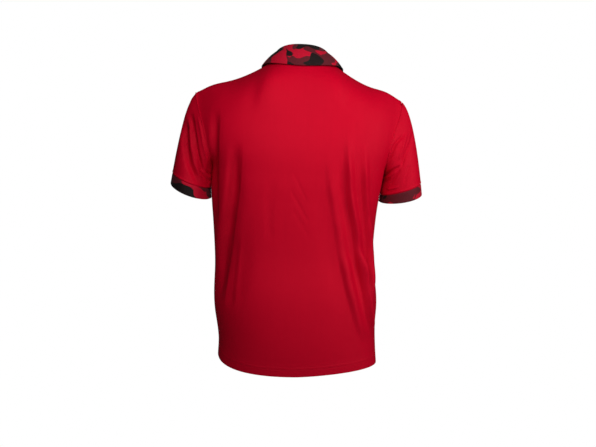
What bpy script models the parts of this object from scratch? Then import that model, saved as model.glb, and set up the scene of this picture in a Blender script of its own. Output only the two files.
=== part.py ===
"""A short-sleeved golf polo shirt, filled out as it is when worn, with a hollow body, sleeves and neck.

Every piece that is cut and sewn is an object of its own: a thin wall of cloth lofted through sections of
the garment. Sizes are in millimetres, and the shirt's front faces -Y, with +X to the wearer's left. The
origin lies between the two points where the shoulder seams meet the neck.
"""

import math
from collections import namedtuple

import bpy
import numpy as np
from mathutils import Matrix, Vector
from mathutils.bvhtree import BVHTree
from mathutils.kdtree import KDTree

MM = 0.001

BODY_WALL = 1.5
TRIM_WALL = 2.0
SEAM_GAP = 0.3
MOST_MITRE = 1.25
SAME_POINT = 0.02
SAME_WAY = 0.9
LEAST_SINE = 0.4
LEAST_LENGTH = 1e-9
SHARP_ANGLE = 50
# The diagonal of each quad in a wall's rim is chosen by this direction, so that both sides of a seam agree
SPLIT_WAY = (0.31, 0.53, 0.79)

SQUARENESS = 2.35
NECK_SHARE = 0.36
SHOULDER_COLUMNS = 12
# Columns of mesh from a neck point to the middle, as shares of the way: the last before it edges the slit
NECK_COLUMN_SHARES = (1, 0.82, 0.64, 0.46, 0.28, 0.1)

# Where the shoulder seams and the neckline lie
SHOULDER_LEFT = (243, -5, -57)
SHOULDER_RIGHT = (-243, -5, -79)
# How much of the shoulder's drop is reached along its seam, from the neck
SHOULDER_DROP = ((0, 0.2, 0.45, 0.8, 1), (0, 0.27, 0.53, 0.75, 1))
NECK_CENTRE = -8
NECK_HALF = 85
NECK_SEAM_Y = -5
NECK_SEAM_Z = 4.5
NECK_TILT = 0.045
# The neckline's height and depth at the centre back and the centre front, and how round its dip is
NECK_BACK = (57, 13)
NECK_FRONT = (-88, -78)
NECK_DIP = 1.2

# Horizontal sections of the body, from the hem up. Steps are the mesh rows up to a section, and bows say
# how a row bends from its middle height to its height at each edge.
Section = namedtuple(
    "Section", "steps x_left x_right z_left z_mid z_right y_edge y_mid turn bow_left bow_right"
)
BACK_SECTIONS = {
    "hem": Section(0, 191, -181, -668, -718, -690, 6, 104, 90, 1.9, 1.15),
    "vent": Section(2, 189, -178, -632, -656, -604, 0, 107, 90, 2.0, 2.0),
    "hip": Section(3, 200, -183, -556, -560, -552, 0, 106, 90, 2.0, 2.0),
    "waist": Section(4, 198, -173, -438, -440, -440, 0, 96, 90, 2.0, 2.0),
    "ribs": Section(2, 203, -181, -350, -355, -355, 0, 105, 90, 2.0, 2.0),
    "cuff": Section(2, 206, -188, -302, -310, -308, 0, 111, 92, 2.0, 2.0),
    "under_arm": Section(2, 206, -193, -264, -282, -281, 0, 115, 94, 2.2, 2.2),
    "armpit": Section(1, 203, -197, -236, -256, -252, 0, 117, 98, 2.5, 2.5),
    "armhole_low": Section(2, 206, -203, -216, -230, -233, 38, 120, 82, 2.5, 2.5),
    "armhole_mid": Section(2, 211, -208, -188, -190, -204, 54, 121, 74, 2.5, 2.5),
    "armhole_high": Section(2, 220, -219, -148, -125, -162, 50, 112, 66, 2.5, 2.5),
}
FRONT_SECTIONS = {
    "hem": Section(0, 184, -172, -652, -690, -648, -4, -104, 90, 2.2, 2.2),
    "vent": Section(2, 189, -178, -632, -640, -604, 0, -107, 90, 2.0, 2.0),
    "hip": Section(3, 200, -183, -556, -560, -552, 0, -112, 90, 2.0, 2.0),
    "waist": Section(4, 198, -173, -438, -440, -440, 0, -113, 90, 2.0, 2.0),
    "ribs": Section(2, 203, -181, -350, -355, -355, 0, -118, 90, 2.0, 2.0),
    "cuff": Section(2, 206, -188, -302, -310, -308, 0, -121, 92, 2.0, 2.0),
    "under_arm": Section(2, 206, -193, -264, -282, -281, 0, -123, 94, 2.2, 2.2),
    "armpit": Section(1, 203, -197, -236, -256, -252, 0, -124, 98, 2.5, 2.5),
    "armhole_low": Section(2, 204, -201, -216, -230, -233, -38, -124, 82, 2.5, 2.5),
    "armhole_mid": Section(2, 207, -204, -188, -190, -204, -54, -121, 74, 2.5, 2.5),
    "armhole_high": Section(2, 214, -213, -148, -146, -162, -50, -113, 68, 2.5, 2.5),
}

# The row below the shoulder seam and the neckline, as a move from it at four places across
YOKE_STEPS = 3
TOP_STEPS = 4
Move = namedtuple("Move", "out back up")
YOKE_STATIONS = (0.0, NECK_SHARE, 0.66, 1.0)
BACK_YOKE = (Move(0, 29, -44), Move(16, 72, -42), Move(7, 62, -38), Move(-6, 26, -34))
FRONT_YOKE = (Move(0, -10, -32), Move(12, -56, -40), Move(5, -52, -37), Move(-8, -22, -34))
# Between these places across, the cloth's way up at the top edge turns from the neckline's to the shoulder's
TURN_FROM = 0.12
TURN_TO = 0.55

# The rings of a cuff: its middle, the way to its outer side and the way to its back
Ring = namedtuple("Ring", "middle outer back")
SLEEVES = {
    "left": {
        "side": 1,
        "cuff_top": Ring((251, -10, -262.5), (47, 16, 16.5), (0, 58, -14)),
        "cuff_end": Ring((254, -13, -286), (48.5, 16, 16), (0, 60, -19)),
    },
    "right": {
        "side": -1,
        "cuff_top": Ring((-237, -10, -284), (-50, 16, 12), (0, 58, -12)),
        "cuff_end": Ring((-237, -13, -303.5), (-52.5, 16, 6.5), (0, 60, -17)),
    },
}
SLEEVE_ROWS = 8
CUFF_ROWS = 2
# How the sleeve leaves the armhole and reaches the cuff: under the arm, half way up and at the shoulder
Leave = namedtuple("Leave", "out up reach")
SLEEVE_START = (Leave(0.8, -0.6, 30), Leave(0.85, -0.53, 75), Leave(0.88, -0.47, 80))
SLEEVE_END = (35, 90, 190)
HEIGHT_STATIONS = (0, 0.5, 1)
# A sleeve hangs against the body's side, this far clear of it. A ray from past the sleeve finds that side.
SLEEVE_CLEAR = 1.6
PAST_SLEEVE = 500
CLOSED = ("sleeve_left", "sleeve_right", "cuff_left", "cuff_right")

# The collar, by the angle round the neck from the centre back. The fold's height falls from back to front.
FOLD_HALF = 65
FOLD_Y = (44, -82)
FOLD_Z = (45, -50)
FOLD_FALL = 1.45
STAND_ROWS = 2
STAND_BULGE = 1.5
ROLL_RADIUS = 3.6
ROLL_STEPS = 4
FALL_STEPS = 4
FALL_BULGE = 5
FALL_COLUMNS = 36
FALL_CLEAR = 3.2
Edge = namedtuple("Edge", "angle out y z")
FALL_EDGE = (
    Edge(0, 0, 73, -3),
    Edge(45, 68, 49, 0),
    Edge(90, 95, -8, 2),
    Edge(120, 96, -48, -12),
    Edge(150, 84, -92, -60),
    Edge(180, 58, -110, -100),
)

# The placket and its buttons
SLIT_LENGTH = 140
PLACKET_LEAN = 0.06
STRIP_OVERLAP = 0.15
STRIP_PAST = 0.6
STRIP_GAP = 0.45
BUTTONS_DOWN = (20, 65, 110)
BUTTON_RADIUS = 5.75
BUTTON_HEIGHT = 2.6
BUTTON_SIDES = 20
MERGE_DISTANCE = 0.0001
# A button's turned profile from its middle, over its rim and down: shares of its radius and of its height
ProfilePoint = namedtuple("ProfilePoint", "radius height")
BUTTON_PROFILE = (
    ProfilePoint(0, 0.73),
    ProfilePoint(0.62, 0.73),
    ProfilePoint(0.74, 1),
    ProfilePoint(0.92, 1),
    ProfilePoint(1, 0.7),
    ProfilePoint(1, 0.3),
    ProfilePoint(0.85, 0),
    ProfilePoint(0, 0),
)
IN_FRONT = -480

# Folds of the filled cloth, as seen from the back or the front: points (x, z), half width, depth inwards
Fold = namedtuple("Fold", "facing points half_width depth")
FOLDS = (
    Fold(1, ((-48, -250), (-53, -313), (-64, -382), (-75, -450), (-92, -519), (-116, -600)), 22, 3.5),
    Fold(1, ((-93, -215), (-100, -313), (-112, -382), (-122, -450), (-136, -519), (-152, -610)), 20, 8.0),
    Fold(1, ((-129, -230), (-134, -313), (-142, -382), (-151, -450), (-159, -519), (-168, -600)), 13, 6.5),
    Fold(1, ((141, -190), (143, -230), (148, -290), (158, -359), (168, -427), (180, -496), (188, -555)), 24, 8.5),
    Fold(1, ((122, -380), (128, -450), (141, -565)), 20, 3.5),
    Fold(1, ((190, -100), (194, -160), (195, -222), (195, -290), (196, -370)), 15, 4.5),
    Fold(1, ((267, -118), (266, -160), (262, -195), (253, -230), (239, -258)), 12, 5.0),
    Fold(1, ((255, -105), (245, -158), (240, -195), (230, -230), (220, -258)), 10, 4.5),
    Fold(1, ((-236, -130), (-224, -180), (-204, -240)), 11, 3.5),
    Fold(1, ((-261, -166), (-244, -215), (-232, -246)), 10, 3.0),
    Fold(-1, ((-120, -235), (-96, -380), (-112, -520), (-150, -620)), 24, 5.0),
    Fold(-1, ((-150, -300), (-148, -430), (-160, -560)), 16, 3.5),
    Fold(-1, ((132, -225), (110, -360), (128, -500), (160, -600)), 24, 5.0),
    Fold(-1, ((40, -330), (58, -450), (52, -600)), 26, 3.5),
    Fold(-1, ((-30, -380), (-44, -500), (-36, -620)), 24, 3.0),
    Fold(-1, ((255, -140), (246, -195), (228, -240)), 12, 3.5),
    Fold(-1, ((-255, -160), (-242, -210), (-222, -255)), 12, 3.5),
)
FOLD_TAPER = 0.3
FACING_BLEND = 30

Finish = namedtuple("Finish", "name colour roughness")
CLOTH = Finish("jersey", (0.42, 0.003, 0.012, 1), 0.45)
TRIM = Finish("patterned_jersey", (0.18, 0.012, 0.018, 1), 0.5)
BUTTON_PLASTIC = Finish("button_plastic", (0.30, 0.004, 0.01, 1), 0.3)


def unit(vectors):
    return vectors / np.maximum(np.linalg.norm(vectors, axis=-1, keepdims=True), LEAST_LENGTH)


def soft_step(t):
    t = np.clip(t, 0, 1)
    return t * t * (3 - 2 * t)


def spline(places, values, where):
    """Reads a smooth curve through the values, which stand at rising places, at each place in where."""
    places = np.asarray(places, float)
    values = np.asarray(values, float)
    where = np.atleast_1d(np.asarray(where, float))
    spans = np.diff(places)
    slopes = np.diff(values, axis=0) / spans.reshape(-1, *[1] * (values.ndim - 1))
    tangents = np.empty_like(values)
    tangents[0], tangents[-1] = slopes[0], slopes[-1]
    for i in range(1, len(places) - 1):
        before, after = spans[i - 1], spans[i]
        tangents[i] = (slopes[i - 1] * after + slopes[i] * before) / (before + after)
    found = []
    for place in where:
        i = int(np.clip(np.searchsorted(places, place) - 1, 0, len(spans) - 1))
        start_way, end_way = tangents[i] * spans[i], tangents[i + 1] * spans[i]
        share = (place - places[i]) / spans[i]
        found.append(hermite(values[i], start_way, values[i + 1], end_way, share))
    return np.array(found)


def hermite(start, start_way, end, end_way, t):
    """A point of the cubic curve from start to end that leaves and arrives by the two given ways."""
    return (
        (2 * t**3 - 3 * t**2 + 1) * start
        + (t**3 - 2 * t**2 + t) * start_way
        + (3 * t**2 - 2 * t**3) * end
        + (t**3 - t**2) * end_way
    )


def both_sides(places, rows):
    """A table that starts at the middle, with its mirror image added: the first column changes sign."""
    places = np.array(places, float)
    rows = np.array(rows, float)
    mirrored = rows[:0:-1] * ([-1] + [1] * (rows.shape[1] - 1))
    return np.concatenate([-places[:0:-1], places]), np.vstack([mirrored, rows])


def across_shares():
    """Places across a panel from the left edge (1) to the right edge (-1), with one at each neck point."""
    shoulder = np.linspace(1, NECK_SHARE, SHOULDER_COLUMNS + 1)[:-1]
    half = np.concatenate([shoulder, NECK_SHARE * np.array(NECK_COLUMN_SHARES)])
    return np.concatenate([half, [0], -half[::-1]])


def section_row(section, shares):
    """The points of one horizontal section: an arc that is a little squarer than an ellipse."""
    power = 2 / SQUARENESS
    last = math.radians(section.turn)

    def bulge(angle):
        return np.sign(np.cos(angle)) * np.abs(np.cos(angle)) ** power

    angles = np.abs(shares) * last
    reach = (np.sin(angles) / math.sin(last)) ** power
    middle = (section.x_left + section.x_right) / 2
    x = middle + np.sign(shares) * reach * (section.x_left - section.x_right) / 2
    y = section.y_edge + (section.y_mid - section.y_edge) * (bulge(angles) - bulge(last)) / (1 - bulge(last))
    z_edge = np.where(shares > 0, section.z_left, section.z_right)
    bow = np.where(shares > 0, section.bow_left, section.bow_right)
    z = section.z_mid + (z_edge - section.z_mid) * np.abs(shares) ** bow
    return np.stack([x, y, z], axis=1)


def neck_tilt(x):
    return NECK_TILT * (x - NECK_CENTRE)


def neckline_point(angle, centre):
    """A point of the neckline, at an angle from the centre of the back or of the front."""
    y_centre, z_centre = centre
    x = NECK_CENTRE + NECK_HALF * math.sin(angle)
    y = NECK_SEAM_Y + (y_centre - NECK_SEAM_Y) * math.cos(angle)
    z = NECK_SEAM_Z + (z_centre - NECK_SEAM_Z) * math.cos(angle) ** NECK_DIP
    return np.array([x, y, z + neck_tilt(x)])


def top_row(centre, shares):
    """The top edge of a panel: along the shoulder seams, and round the neckline between them."""
    points = []
    for share in shares:
        side = 1 if share > 0 else -1
        if abs(share) > NECK_SHARE:
            neck = neckline_point(side * math.pi / 2, centre)
            shoulder = np.array(SHOULDER_LEFT if side > 0 else SHOULDER_RIGHT, float)
            along = (abs(share) - NECK_SHARE) / (1 - NECK_SHARE)
            point = neck + (shoulder - neck) * along
            point[2] = neck[2] + (shoulder[2] - neck[2]) * spline(*SHOULDER_DROP, along)[0]
        else:
            point = neckline_point(share / NECK_SHARE * math.pi / 2, centre)
        points.append(point)
    return np.array(points)


def yoke_row(top, moves, shares):
    return top + spline(*both_sides(YOKE_STATIONS, moves), shares)


def panel_points(sections, centre, moves, other_yoke, shares):
    """The outer surface of a panel as rows of points, from the hem up to the shoulder seams."""
    rows = [section_row(section, shares) for section in sections.values()]
    top = top_row(centre, shares)
    rows += [yoke_row(top, moves, shares), top]
    steps = [section.steps for section in sections.values()] + [YOKE_STEPS, TOP_STEPS]
    columns = []
    for column, share in enumerate(shares):
        stations = np.array([row[column] for row in rows])
        places = np.concatenate([[0], np.cumsum(np.linalg.norm(np.diff(stations, axis=0), axis=1))])
        # A point past the shoulder seam, on the other panel, keeps the surface smooth over the seam
        over_seam = other_yoke[column]
        on_neck = 2 * top[column] - rows[-2][column]
        blend = soft_step((abs(share) - TURN_FROM) / (TURN_TO - TURN_FROM))
        beyond = on_neck + (over_seam - on_neck) * blend
        stations = np.vstack([stations, beyond])
        places = np.append(places, places[-1] + np.linalg.norm(beyond - top[column]))
        where = [0]
        for i in range(1, len(steps)):
            where += list(np.linspace(places[i - 1], places[i], steps[i] + 1)[1:])
        columns.append(spline(places, stations, where))
    return np.stack(columns, axis=1)


def ring_point(ring, angle):
    outer, back = np.array(ring.outer), np.array(ring.back)
    return np.array(ring.middle) + outer * math.cos(angle) + back * math.sin(angle)


def heights_round(armhole, shoulder_index):
    """How far up from the armpit (0) to the shoulder (1) each point of an armhole lies, by length."""
    lengths = np.linalg.norm(armhole - np.roll(armhole, -1, axis=0), axis=1)
    reach = np.concatenate([[0], np.cumsum(lengths)])
    shoulder = reach[shoulder_index]
    rising = reach[: shoulder_index + 1] / shoulder
    falling = (reach[-1] - reach[shoulder_index + 1 : -1]) / (reach[-1] - shoulder)
    return np.concatenate([rising, falling])


def beside_body(body, point, side):
    """The point, moved out sideways where it lies too near the body's side."""
    start = Vector((side * PAST_SLEEVE, point[1], point[2]))
    found = body.ray_cast(start, Vector((-side, 0, 0)))[0]
    if found is None or side * point[0] >= side * found.x + SLEEVE_CLEAR:
        return point
    return np.array([found.x + side * SLEEVE_CLEAR, point[1], point[2]])


def sleeve_and_cuff_points(sleeve, armhole, shoulder_index, body):
    """The outer surfaces of a sleeve, from the ring of its armhole, and of the cuff at its end."""
    side = sleeve["side"]
    heights = heights_round(armhole, shoulder_index)
    sleeve_columns = []
    cuff_columns = []
    sleeve_shares = np.linspace(0, 1, SLEEVE_ROWS + 1)
    cuff_shares = np.linspace(0, 1, CUFF_ROWS + 1)
    for i, (start, height) in enumerate(zip(armhole, heights)):
        rising = 1 if i <= shoulder_index else -1
        angle = math.pi * (1 - height) * rising * side
        top = ring_point(sleeve["cuff_top"], angle)
        end = ring_point(sleeve["cuff_end"], angle)
        out, up, reach = spline(HEIGHT_STATIONS, SLEEVE_START, height)[0]
        leave = unit(np.array([side * out, 0, up])) * reach
        arrive = unit(end - top) * spline(HEIGHT_STATIONS, SLEEVE_END, height)[0]
        sleeve_column = [hermite(start, leave, top, arrive, t) for t in sleeve_shares]
        cuff_column = [top + (end - top) * t for t in cuff_shares]
        sleeve_columns.append(sleeve_column[:1] + [beside_body(body, p, side) for p in sleeve_column[1:]])
        cuff_columns.append([beside_body(body, p, side) for p in cuff_column])
    return np.stack(sleeve_columns, axis=1), np.stack(cuff_columns, axis=1)


def collar_angles():
    """Angles round the neck, all the way from the centre front by the left side and the back to the front."""
    half = np.linspace(math.pi, 0, FALL_COLUMNS // 2 + 1)
    return np.concatenate([half, -half[-2::-1]])


def fold_point(angle):
    """A point of the collar's fold, at an angle from the centre back, positive to the left side."""
    middle = sum(FOLD_Y) / 2
    x = NECK_CENTRE + FOLD_HALF * math.sin(angle)
    y = middle + (FOLD_Y[0] - middle) * math.cos(angle)
    drop = ((1 - math.cos(angle)) / 2) ** FOLD_FALL
    z = FOLD_Z[0] + (FOLD_Z[1] - FOLD_Z[0]) * drop
    return np.array([x, y, z + neck_tilt(x)])


def stand_points(neckline, angles):
    """The collar stand's outer surface: up from the neckline's points to the fold."""
    rows = []
    tops = np.array([fold_point(angle) for angle in angles])
    middle = np.array([NECK_CENTRE, NECK_SEAM_Y, 0])
    outward = (neckline + tops) / 2 - middle
    outward[:, 2] = 0
    for share in np.linspace(0, 1, STAND_ROWS + 1):
        bulge = unit(outward) * STAND_BULGE * math.sin(math.pi * share)
        rows.append(neckline * (1 - share) + tops * share + bulge)
    return np.array(rows)


def fall_points(angles, under):
    """The collar fall's outer surface: up inside the fold, over it, and down to the fall's free edge."""
    table = np.array(FALL_EDGE, float)
    edges = spline(*both_sides(table[:, 0], table[:, 1:]), np.degrees(angles))
    up = np.array([0, 0, 1])
    columns = []
    for angle, (out, y, z) in zip(angles, edges):
        x = NECK_CENTRE + out
        edge = clear_of(under, np.array([x, y, z + neck_tilt(x)]), FALL_CLEAR)
        fold = fold_point(angle)
        away = edge - fold
        away[2] = 0
        away = unit(away)
        middle = fold + away * (ROLL_RADIUS - TRIM_WALL) + up * SEAM_GAP
        column = []
        for turn in np.linspace(math.pi, 0, ROLL_STEPS + 1):
            column.append(middle + ROLL_RADIUS * (away * math.cos(turn) + up * math.sin(turn)))
        start = column[-1]
        bulge = unit(np.cross(np.cross(away, up), edge - start))
        bulge = bulge if bulge @ away > 0 else -bulge
        for share in np.linspace(0, 1, FALL_STEPS + 1)[1:]:
            out_by = bulge * FALL_BULGE * math.sin(math.pi * share)
            column.append(clear_of(under, start + (edge - start) * share + out_by, FALL_CLEAR))
        columns.append(column)
    return np.stack(columns, axis=1)


def tree_of(grids):
    """A search tree of the faces of several grids, whose faces point outwards."""
    points, faces = [], []
    for grid in grids:
        rows, columns = grid.shape[:2]
        first = len(points)
        points += [Vector(point) for point in grid.reshape(-1, 3)]
        for r in range(rows - 1):
            for c in range(columns - 1):
                start = first + r * columns + c
                faces.append((start, start + 1, start + columns + 1, start + columns))
    return BVHTree.FromPolygons(points, faces)


def clear_of(tree, point, distance):
    """The point, moved out from the surface beneath it where it lies nearer than the distance."""
    nearest, normal, _, _ = tree.find_nearest(Vector(point))
    height = (Vector(point) - nearest).dot(normal)
    if height >= distance:
        return point
    return point + np.array(normal) * (distance - height)


def surface_normals(grid, closed):
    """Unnormalised outward normals of a grid, whose length is the area of the cells round each point."""
    rows, columns = grid.shape[:2]
    normals = np.zeros_like(grid)
    last = columns if closed else columns - 1
    for r in range(rows - 1):
        for c in range(last):
            d = (c + 1) % columns
            area = np.cross(grid[r + 1, d] - grid[r, c], grid[r + 1, c] - grid[r, d]) / 2
            for corner in ((r, c), (r, d), (r + 1, d), (r + 1, c)):
                normals[corner] += area
    return normals


def sum_of_ways(normals):
    """The sum of the normals that meet at a point, where those that lie almost the same way count as one."""
    alike = (normals @ normals.T > SAME_WAY).sum(axis=1)
    return (normals / alike[:, None]).sum(axis=0)


def shared_normals(grids):
    """For each grid, its unit normals with those of the pieces that meet it at a seam averaged in."""
    own = {name: surface_normals(grid, name in CLOSED) for name, grid in grids.items()}
    places = np.concatenate([grid.reshape(-1, 3) for grid in grids.values()])
    areas = np.concatenate([normals.reshape(-1, 3) for normals in own.values()])
    tree = KDTree(len(places))
    for i, place in enumerate(places):
        tree.insert(Vector(place), i)
    tree.balance()
    meeting = [[i for _, i, _ in tree.find_range(Vector(place), SAME_POINT)] for place in places]
    shared = np.array([sum_of_ways(unit(areas[indices])) for indices in meeting])
    found, first = {}, 0
    for name, grid in grids.items():
        count = grid.shape[0] * grid.shape[1]
        found[name] = unit(shared[first : first + count]).reshape(grid.shape)
        first += count
    return own, found


def fold_depth(points):
    """How far each point lies inside the smooth surface, because of the folds of the cloth near it."""
    depth = np.zeros(len(points))
    for fold in FOLDS:
        line = np.array(fold.points, float)
        spans = np.linalg.norm(np.diff(line, axis=0), axis=1)
        starts = np.concatenate([[0], np.cumsum(spans)])
        nearest = np.full(len(points), np.inf)
        along = np.zeros(len(points))
        for i, span in enumerate(spans):
            way = (line[i + 1] - line[i]) / span
            offset = points[:, [0, 2]] - line[i]
            reach = np.clip(offset @ way, 0, span)
            distance = np.linalg.norm(offset - reach[:, None] * way, axis=1)
            closer = distance < nearest
            nearest = np.where(closer, distance, nearest)
            along = np.where(closer, (starts[i] + reach) / starts[-1], along)
        across = np.cos(np.clip(nearest / fold.half_width, 0, 1) * math.pi / 2) ** 2
        taper = soft_step(np.minimum(along, 1 - along) / FOLD_TAPER)
        facing = soft_step(fold.facing * points[:, 1] / FACING_BLEND)
        depth += fold.depth * across * taper * facing
    return depth


def pulled_back(points, closed):
    """The grid with its borders drawn back along the cloth, square to each border, by half a seam's gap."""
    moved = points.copy()
    moved[0] += border_shift(points[0], points[1])
    moved[-1] += border_shift(points[-1], points[-2])
    if not closed:
        moved[:, 0] += border_shift(points[:, 0], points[:, 1])
        moved[:, -1] += border_shift(points[:, -1], points[:, -2])
    return moved


def border_shift(border, inside):
    along = unit(np.gradient(border, axis=0))
    inward = unit(inside - border)
    square = inward - along * np.sum(inward * along, axis=1, keepdims=True)
    return inward * (SEAM_GAP / 2 / np.maximum(np.linalg.norm(square, axis=1, keepdims=True), LEAST_SINE))


def walled(outer, own, shared, thickness, closed):
    """The outer and inner points of a wall, with its ends mitred to those of its neighbours."""
    cosine = np.sum(unit(own) * shared, axis=-1, keepdims=True)
    mitre = 1 / np.clip(cosine, 1 / MOST_MITRE, 1)
    inner = outer - shared * thickness * mitre
    return pulled_back(outer, closed), pulled_back(inner, closed)


def make_wall(name, outer, inner, material, closed=False, left_out=()):
    """A solid between two grids of points, open where cells are left out."""
    rows, columns = outer.shape[:2]
    around = columns if closed else columns - 1
    cells = {(r, c) for r in range(rows - 1) for c in range(around)} - set(left_out)

    def corner(layer, r, c):
        return (layer * rows + r) * columns + c % columns

    faces = []
    for r, c in sorted(cells):
        ring = [(r, c), (r, c + 1), (r + 1, c + 1), (r + 1, c)]
        faces.append([corner(0, *place) for place in ring])
        faces.append([corner(1, *place) for place in reversed(ring)])
        sides = {0: (r - 1, c), 1: (r, c + 1), 2: (r + 1, c), 3: (r, c - 1)}
        for i, (beside_r, beside_c) in sides.items():
            beside = (beside_r, beside_c % around if closed else beside_c)
            if beside not in cells:
                faces += rim(corner, outer, ring[i], ring[(i + 1) % 4])
    used = sorted({i for face in faces for i in face})
    place_of = {i: n for n, i in enumerate(used)}
    points = np.concatenate([outer.reshape(-1, 3), inner.reshape(-1, 3)])[used] * MM
    mesh = bpy.data.meshes.new(name)
    mesh.from_pydata(points.tolist(), [], [[place_of[i] for i in face] for face in faces])
    add_object(name, mesh, material)


def rim(corner, outer, start, end):
    """Two triangles across a wall's edge, split the same way as those of the piece across the seam."""
    columns = outer.shape[1]
    rise = (outer[end[0], end[1] % columns] - outer[start[0], start[1] % columns]) @ np.array(SPLIT_WAY)
    if rise > 0:
        return [
            [corner(0, *end), corner(0, *start), corner(1, *start)],
            [corner(0, *end), corner(1, *start), corner(1, *end)],
        ]
    return [
        [corner(0, *end), corner(0, *start), corner(1, *end)],
        [corner(0, *start), corner(1, *start), corner(1, *end)],
    ]


def add_object(name, mesh, material):
    mesh.materials.append(material)
    mesh.shade_smooth()
    mesh.set_sharp_from_angle(angle=math.radians(SHARP_ANGLE))
    parts.objects.link(bpy.data.objects.new(name, mesh))


def make_material(finish):
    material = bpy.data.materials.new(finish.name)
    material.use_nodes = True
    shader = material.node_tree.nodes["Principled BSDF"]
    shader.inputs["Base Color"].default_value = finish.colour
    shader.inputs["Roughness"].default_value = finish.roughness
    return material


def strip_points(panel, slit_start, middle):
    """The panel's points under a placket strip, from just below the slit up to the neckline."""
    left, right = middle - 1, middle + 1
    rows = []
    below = panel[slit_start - 1] * STRIP_PAST + panel[slit_start] * (1 - STRIP_PAST)
    for row in [below, *panel[slit_start:]]:
        hem = [row[left] + (row[left - 1] - row[left]) * STRIP_OVERLAP]
        other_hem = [row[right] + (row[right + 1] - row[right]) * STRIP_OVERLAP]
        rows.append(hem + list(row[left : right + 1]) + other_hem)
    return np.array(rows)


def make_button(name, place, normal, material):
    """A turned button with a raised rim, standing on a place of the placket."""
    points = [(p.radius * BUTTON_RADIUS * MM, 0, p.height * BUTTON_HEIGHT * MM) for p in BUTTON_PROFILE]
    mesh = bpy.data.meshes.new(name)
    mesh.from_pydata(points, [(i, i + 1) for i in range(len(points) - 1)], [])
    made = bpy.data.objects.new(name, mesh)
    parts.objects.link(made)
    turn = made.modifiers.new("Turn", "SCREW")
    turn.steps = BUTTON_SIDES
    turn.render_steps = BUTTON_SIDES
    turn.use_merge_vertices = True
    turn.merge_threshold = MERGE_DISTANCE
    mesh.materials.append(material)
    upright = Vector(normal).to_track_quat("Z", "Y").to_matrix().to_4x4()
    made.matrix_world = Matrix.Translation(Vector(place) * MM) @ upright


for old in list(bpy.data.objects):
    bpy.data.objects.remove(old)
parts = bpy.data.collections.new("golf_polo_shirt")
bpy.context.scene.collection.children.link(parts)
cloth = make_material(CLOTH)
trim = make_material(TRIM)
button_plastic = make_material(BUTTON_PLASTIC)

# The panels, whose side seams run from the vents up to the armpits
across = across_shares()
back_top, front_top = top_row(NECK_BACK, across), top_row(NECK_FRONT, across)
back_yoke = yoke_row(back_top, BACK_YOKE, across)
front_yoke = yoke_row(front_top, FRONT_YOKE, across)
back = panel_points(BACK_SECTIONS, NECK_BACK, BACK_YOKE, front_yoke, across)
front = panel_points(FRONT_SECTIONS, NECK_FRONT, FRONT_YOKE, back_yoke, across)
vent_row = BACK_SECTIONS["vent"].steps
names_up_to_armpit = list(BACK_SECTIONS)[: list(BACK_SECTIONS).index("armpit") + 1]
armpit_row = sum(BACK_SECTIONS[name].steps for name in names_up_to_armpit)
for edge in (0, -1):
    front[vent_row : armpit_row + 1, edge] = back[vent_row : armpit_row + 1, edge]
front = front[:, ::-1]

# The sleeves, each from the ring of points that the panels leave open above the armpit
shoulder = back.shape[0] - 1 - armpit_row
rings = {
    "left": np.vstack([back[armpit_row:, 0], front[-2:armpit_row:-1, -1]]),
    "right": np.vstack([front[armpit_row:, 0], back[-2:armpit_row:-1, -1]]),
}
grids = {"back_panel": back, "front_panel": front}
body = tree_of([back, front])
for side, armhole in rings.items():
    sleeve, cuff = sleeve_and_cuff_points(SLEEVES[side], armhole, shoulder, body)
    grids[f"sleeve_{side}"] = sleeve
    grids[f"cuff_{side}"] = cuff

# The front's slit leaves out the cells beside the middle column, and its edges run straight down
middle = len(across) // 2
neck_front = front[-1, middle].copy()
slit_half = abs(front[-1, middle + 1, 0] - neck_front[0])
slit_rows = [r for r in range(front.shape[0] - 1) if front[r, middle, 2] > neck_front[2] - SLIT_LENGTH]
for r in range(slit_rows[0] - 1, front.shape[0] - 1):
    centre = neck_front[0] + (neck_front[2] - front[r, middle, 2]) * PLACKET_LEAN
    for beside in (-1, 0, 1):
        front[r, middle + beside, 0] = centre + beside * slit_half
slit_cells = [(r, c) for r in slit_rows for c in (middle - 1, middle)]

# The neckline runs from the centre front by the left side, the back and the right side to the front again
neck_columns = slice(SHOULDER_COLUMNS, len(across) - SHOULDER_COLUMNS)
front_neck, back_neck = front[-1, neck_columns], back[-1, neck_columns]
half_neck = len(NECK_COLUMN_SHARES)
neckline = np.vstack([front_neck[half_neck:], back_neck[1:], front_neck[1 : half_neck + 1]])
quarter = np.array([*NECK_COLUMN_SHARES, 0]) * math.pi / 2
left_angles = np.concatenate([math.pi - quarter[::-1], quarter[1:]])
stand_angles = np.concatenate([left_angles, -left_angles[-2::-1]])
grids["collar_stand"] = stand_points(neckline, stand_angles)

# The folds move the cloth along its own normals, alike on both sides of a seam
_, smooth_normals = shared_normals(grids)
for name, grid in grids.items():
    if name != "collar_stand":
        depth = fold_depth(grid.reshape(-1, 3)).reshape(*grid.shape[:2], 1)
        grids[name] = grid - smooth_normals[name] * depth
own, shared = shared_normals(grids)
for name, grid in grids.items():
    is_trim = name.startswith(("cuff", "collar"))
    thickness = TRIM_WALL if is_trim else BODY_WALL
    outer, inner = walled(grid, own[name], shared[name], thickness, name in CLOSED)
    left_out = slit_cells if name == "front_panel" else ()
    make_wall(name, outer, inner, trim if is_trim else cloth, name in CLOSED, left_out)

# The collar's fall lies over the panels round the neck
panels = tree_of([grids["back_panel"], grids["front_panel"]])
fall = fall_points(collar_angles(), panels)
fall_normals = unit(surface_normals(fall, False))
fall_outer = pulled_back(fall, False)
make_wall("collar_fall", fall_outer, fall_outer - fall_normals * TRIM_WALL, trim)

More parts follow.
